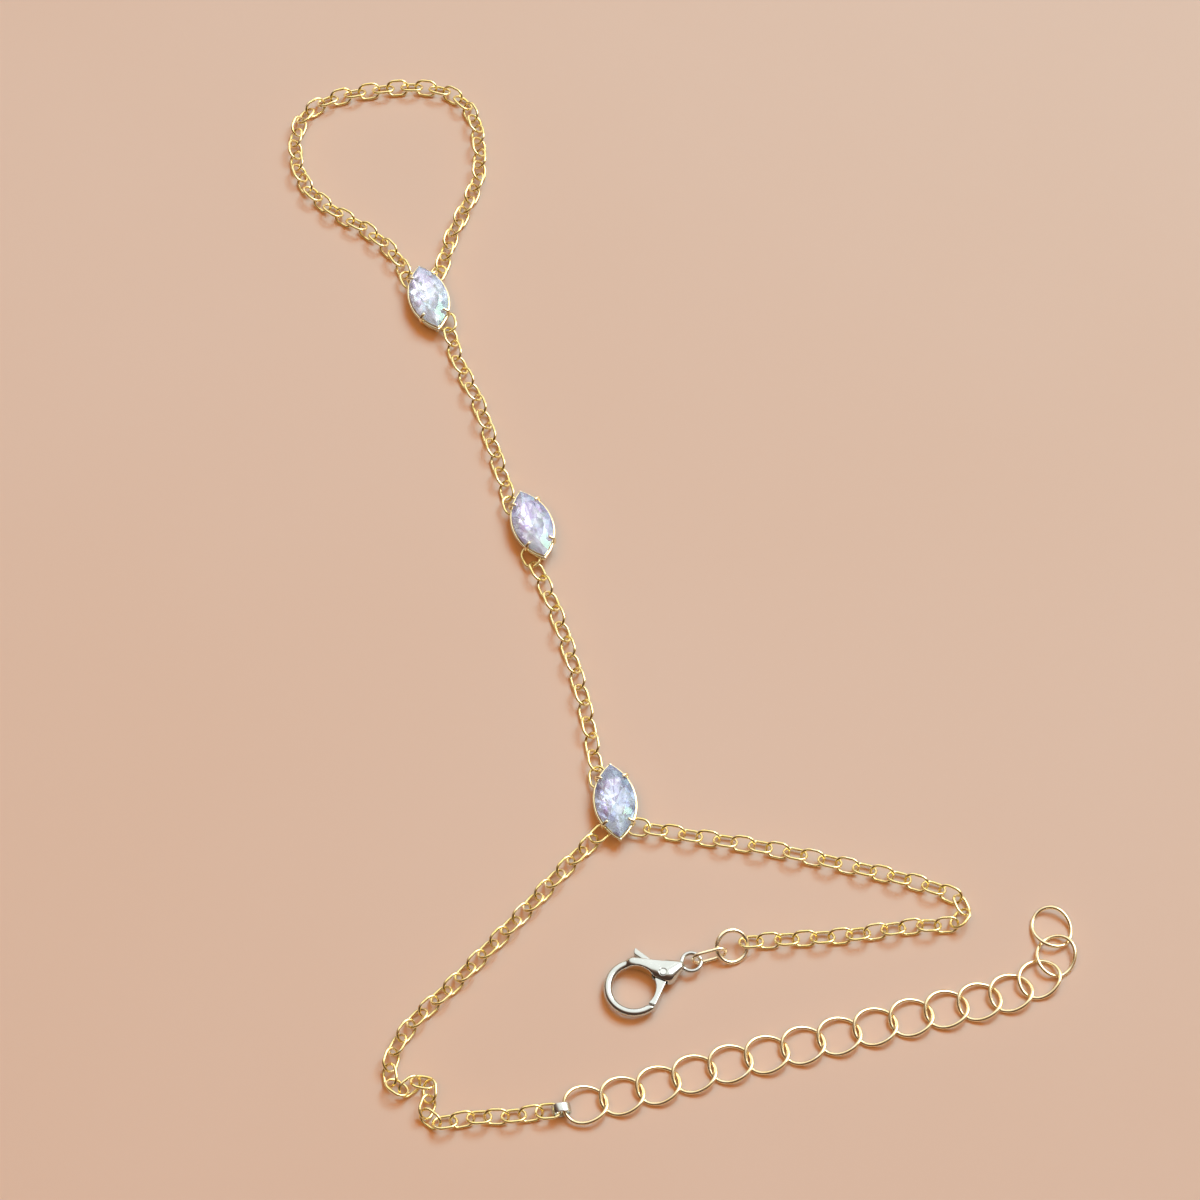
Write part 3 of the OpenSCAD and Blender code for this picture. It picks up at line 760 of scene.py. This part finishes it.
def cut_stone(length, width, low, high, cut, mains=12):
    """Points and faces of a pointed oval brilliant whose facets are flat, and how many faces its upper side has."""
    arc, drop = outline_arc(length, width)
    tip, around = math.acos(drop / arc), 2 * mains
    edge, tangent = [], []
    for i in range(around):
        side, turn = (1 if i < mains else -1), tip * (1 - 2 * (i % mains) / mains)
        edge.append((side * arc * math.sin(turn), side * (arc * math.cos(turn) - drop)))
        tangent.append((side * math.cos(turn), -side * math.sin(turn)) if i % mains else (0, side))
    edge, tangent = np.array(edge), np.array(tangent)
    top, bottom = high - cut.crown, high - cut.crown - cut.girdle

    def ring(share_l, share_w, z, step=1):
        """The stone's outline at height z, made smaller by two shares."""
        return [np.array((edge[i][0] * share_l, edge[i][1] * share_w, z)) for i in range(0, around, step)]

    def between(planes, z):
        """Points at height z in which each main facet's plane meets the next one's."""
        found = []
        for j in range(mains):
            (p, n), (q, m) = planes[j], planes[(j + 1) % mains]
            rows = np.array((n[:2], m[:2]))
            values = np.array((n @ p - n[2] * z, m @ q - m[2] * z))
            found.append(np.array((*np.linalg.solve(rows, values), z)))
        return found

    table = ring(cut.table_length, cut.table_width, high, 2)
    upper, lower = ring(1, 1, top), ring(1, 1, bottom)
    culet = np.array((0, 0, low))
    flat = [np.array((*tangent[2 * j], 0)) for j in range(mains)]
    crown_planes = [(upper[2 * j], np.cross(flat[j], table[j] - upper[2 * j])) for j in range(mains)]
    base_planes = [(lower[2 * j], np.cross(flat[j], culet - lower[2 * j])) for j in range(mains)]
    stars = between(crown_planes, top + (high - top) * STAR_HEIGHT)
    breaks = between(base_planes, bottom - (bottom - low) * BREAK_DEPTH)
    points = [*table, *stars, *upper, *lower, *breaks, culet]
    # Where the stars, the upper edge, the lower edge, the breaks and the culet start among the points
    st, up, lo, br, cu = (mains * k for k in (1, 2, 4, 6, 7))
    faces = [tuple(range(mains))]
    for j in range(mains):
        after, before, a, b, c = (j + 1) % mains, (j - 1) % mains, 2 * j, 2 * j + 1, (2 * j + 2) % around
        faces += [(after, j, st + j), (j, st + before, up + a, st + j),
                  (st + j, up + a, up + b), (st + j, up + b, up + c)]
    upper_faces = len(faces)
    faces += [(up + (i + 1) % around, up + i, lo + i, lo + (i + 1) % around) for i in range(around)]
    for j in range(mains):
        before, a, b, c = (j - 1) % mains, 2 * j, 2 * j + 1, (2 * j + 2) % around
        faces += [(br + j, lo + b, lo + a), (br + j, lo + c, lo + b), (cu, br + j, lo + a, br + before)]
    return points, faces, upper_faces


class BRACELET_OT_stones(bpy.types.Operator):
    """Cuts the three pointed oval stones, with foil under them"""
    bl_idname = "bracelet.stones"
    bl_label = "Stones"

    def execute(self, context):
        cut = context.scene.bracelet.stones
        for name in STONES:
            middle, axes, size, low, high = stone_place(name)
            points, faces, upper = cut_stone(*size[:2], low, high, cut)
            points = np.array(points)
            shape = Shape()
            shape.add(middle + points @ axes.T, faces)
            # Glass on the upper side, and foil on the edge and under it
            shape.finishes = [0] * upper + [1] * (len(faces) - upper)
            # Each stone's field colours: the coat's lilac and aqua, and painted light and dark facet reflections
            tints_and_reflections = FIELD_TINTS_AND_REFLECTIONS[name]
            finishes = [crown_glass(f"crown_{name}", tints_and_reflections), foil(f"foil_{name}", tints_and_reflections)]
            piece = make_piece(f"stone_{name}_cut", shape, finishes, [f"stone_{name}"],
                               smooth=False)
            places = []
            for k, face in enumerate(faces):
                turn = math.atan2(*points[list(face)].mean(axis=0)[1::-1]) / math.tau
                places.append((turn - BROKEN / 2 + SHAKE * math.sin(SHAKE_STEP * k)) % 1)
            piece.data.attributes.new("facet", "FLOAT", "FACE").data.foreach_set("value", places)
        return {"FINISHED"}


# How far the rivet's heads stand out, and the radius of the tiny hole that its turned shape leaves in each head
RIVET_FLARE = 0.045 * MM
RIVET_MIDDLE = 0.0001 * MM


def cast_copy(name, node, body, finish, voxel=0.05 * MM, rounds=45):
    """A cast piece: the frame's solid with its edges rounded as tumbling leaves them."""
    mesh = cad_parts[node].data.copy()
    mesh.name = name
    mesh.materials.clear()
    mesh.materials.append(finish)
    piece = bpy.data.objects.new(name, mesh)
    bpy.context.scene.collection.objects.link(piece)
    weld = piece.modifiers.new("weld", "WELD")
    weld.merge_threshold = WELD
    remesh = piece.modifiers.new("remesh", "REMESH")
    remesh.mode = "VOXEL"
    remesh.voxel_size = voxel
    remesh.use_smooth_shade = True
    soft = piece.modifiers.new("soften", "SMOOTH")
    soft.factor = 0.5
    soft.iterations = rounds
    shown = piece.evaluated_get(bpy.context.evaluated_depsgraph_get())
    made = bpy.data.meshes.new_from_object(shown)
    made.name = name
    piece.modifiers.clear()
    piece.data = made
    hand_over(piece, [node], body)


class BRACELET_OT_clasp(bpy.types.Operator):
    """Makes the trigger clasp: its cast body, its lever and the rivet that the lever turns on"""
    bl_idname = "bracelet.clasp"
    bl_label = "Clasp"

    def execute(self, context):
        cast_copy("clasp_body_cast", "clasp_body", "root", silver_metal())
        cast_copy("clasp_lever_cast", "clasp_lever", "clasp_lever", silver_metal())
        low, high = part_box("clasp_rivet")
        middle = np.array((low + high) / 2)
        radius, half, flare = (high.x - low.x) / 2, (high.z - low.z) / 2, RIVET_FLARE
        profile = [(RIVET_MIDDLE, -half), (radius, -half), (radius + flare, -half + flare),
                   (radius, -half + 3 * flare), (radius, half - 3 * flare), (radius + flare, half - flare),
                   (radius, half), (RIVET_MIDDLE, half)]
        shape = Shape()
        shape.add(*lathe(profile, middle, UP, 48))
        make_piece("clasp_rivet_pin", shape, [silver_metal()], ["clasp_rivet"], smooth=False)
        return {"FINISHED"}


# What the camera looks at, in millimetres, and how far the floor reaches, in metres
AIM = (-6.2, -3.6, 0)
FLOOR_REACH = 3.0
# The room, from the viewer's side to high behind the bracelet, as the metal mirrors it and as the stones see it
ROOM_RISE = (0.25, 0.7, 0.6)
ROOM_STRENGTH = 2.0
METAL_ROOM = [(0.0, (0.05, 0.028, 0.02)), (0.28, (0.12, 0.07, 0.05)), (0.45, (0.27, 0.23, 0.2)),
              (0.58, (0.59, 0.58, 0.55)), (0.85, (0.7, 0.7, 0.68))]
STONE_ROOM = [(0.0, (0.80, 0.74, 0.78)), (0.5, (0.98, 0.97, 0.97)), (0.8, (1.0, 1.0, 1.0))]


def lay_floor(scene, stage):
    """Plain card, a little cloudy."""
    far = FLOOR_REACH
    mesh = bpy.data.meshes.new("floor")
    mesh.from_pydata([(-far, -far, 0), (far, -far, 0), (far, far, 0), (-far, far, 0)], [], [(0, 1, 2, 3)])
    floor = bpy.data.objects.new("floor", mesh)
    scene.collection.objects.link(floor)
    material = bpy.data.materials.new("floor_card")
    material.use_nodes = True
    tree = material.node_tree
    shader = tree.nodes["Principled BSDF"]
    shader.inputs["Roughness"].default_value = 0.85
    shader.inputs["Specular IOR Level"].default_value = 0.2
    place = add_node(tree, "TexCoord").outputs["Object"]
    cloud = add_node(tree, "TexNoise", Vector=place, Scale=14)
    shade = add_node(tree, "Mix", {"data_type": "RGBA"}, Factor=cloud.outputs["Fac"], A=(*stage.floor, 1),
                     B=(*lighter(stage.floor, 0.08), 1))
    tree.links.new(shade.outputs["Result"], shader.inputs["Base Color"])
    mesh.materials.append(material)


def hang_lamps(scene, stage, aim):
    """Soft boxes: two that only light the surfaces, and a gleam that only metal and glass show."""
    for name, spot, size, power, tint, shiny in (
            ("key", (0.31, 0.43, 0.85), 0.5, stage.key_power, stage.key_tint, False),
            ("gleam", (0.45, 0.22, 0.5), 0.5, stage.gleam_power, (0.96, 1.0, 0.98), True),
            ("ambient", (0, 0, 1), 2.0, stage.ambient_power, stage.ambient_tint, False)):
        light = bpy.data.lights.new(name, "AREA")
        light.size = size
        light.energy = power
        light.color = tint
        lamp = bpy.data.objects.new(name, light)
        lamp.visible_diffuse = not shiny
        lamp.visible_glossy = shiny
        lamp.visible_transmission = shiny
        lamp.location = spot
        lamp.rotation_mode = "QUATERNION"
        lamp.rotation_quaternion = (aim - Vector(spot)).to_track_quat("-Z", "Y")
        scene.collection.objects.link(lamp)


def paint_room(scene):
    """The room that metal mirrors and that stones see; it lights no surface by itself."""
    world = bpy.data.worlds.new("studio")
    world.use_nodes = True
    tree = world.node_tree
    background = tree.nodes["Background"]
    view = add_node(tree, "TexCoord").outputs["Generated"]
    height = add_node(tree, "VectorMath", {"operation": "DOT_PRODUCT"}, _0=view, _1=ROOM_RISE)
    through = add_node(tree, "LightPath").outputs["Is Transmission Ray"]
    room = add_node(tree, "Mix", {"data_type": "RGBA"}, Factor=through)
    for side, stops in (("A", METAL_ROOM), ("B", STONE_ROOM)):
        sky = add_node(tree, "ValToRGB", Fac=height.outputs["Value"])
        fill_ramp(sky.color_ramp, stops)
        tree.links.new(sky.outputs["Color"], room.inputs[side])
    tree.links.new(room.outputs["Result"], background.inputs["Color"])
    background.inputs["Strength"].default_value = ROOM_STRENGTH
    scene.world = world
    world.cycles_visibility.diffuse = False
    scene.view_settings.view_transform = "Standard"


def set_camera(scene, stage, aim):
    """Camera that looks at the aim from the front and above."""
    camera = bpy.data.objects.new("camera", bpy.data.cameras.new("camera"))
    camera.data.lens = stage.lens
    camera.data.sensor_width = 36
    camera.data.clip_start = 0.01
    back = Vector((0, -math.cos(stage.elevation), math.sin(stage.elevation)))
    camera.location = aim + back * stage.distance
    camera.rotation_mode = "QUATERNION"
    camera.rotation_quaternion = (-back).to_track_quat("-Z", "Y")
    scene.collection.objects.link(camera)
    scene.camera = camera


class BRACELET_OT_stage(bpy.types.Operator):
    """Makes the plain pale floor, the soft studio light and the camera"""
    bl_idname = "bracelet.stage"
    bl_label = "Stage"

    def execute(self, context):
        scene, stage = context.scene, context.scene.bracelet.stage
        aim = Vector(AIM) * MM
        lay_floor(scene, stage)
        hang_lamps(scene, stage, aim)
        paint_room(scene)
        set_camera(scene, stage, aim)
        return {"FINISHED"}


OPERATORS = (BRACELET_OT_stage, BRACELET_OT_small_chains, BRACELET_OT_extender, BRACELET_OT_rings,
             BRACELET_OT_settings, BRACELET_OT_stones, BRACELET_OT_clasp)


class BRACELET_PT_panel(bpy.types.Panel):
    """Lists the bracelet's pieces and their sizes"""
    bl_label = "Hand chain bracelet"
    bl_idname = "BRACELET_PT_panel"
    bl_space_type = "VIEW_3D"
    bl_region_type = "UI"
    bl_category = "Bracelet"

    def draw(self, context):
        for operator in OPERATORS:
            self.layout.operator(operator.bl_idname)
        for group in ("chain", "rings", "stones", "settings", "stage"):
            box = self.layout.box()
            values = getattr(context.scene.bracelet, group)
            for key in values.bl_rna.properties.keys():
                if key not in ("rna_type", "name"):
                    box.prop(values, key)


CLASSES = (ChainSettings, RingSettings, StoneSettings, SettingSettings, StageSettings, BraceletSettings,
           *OPERATORS, BRACELET_PT_panel)


def register():
    """Registers the classes, and gives the scene the bracelet's settings."""
    for made in CLASSES:
        bpy.utils.register_class(made)
    bpy.types.Scene.bracelet = PointerProperty(type=BraceletSettings)


def unregister():
    """Takes the settings and the classes away again."""
    del bpy.types.Scene.bracelet
    for made in reversed(CLASSES):
        bpy.utils.unregister_class(made)


def main():
    register()
    for operator in OPERATORS:
        group, name = operator.bl_idname.split(".")
        getattr(getattr(bpy.ops, group), name)()


if __name__ == "__main__":
    main()
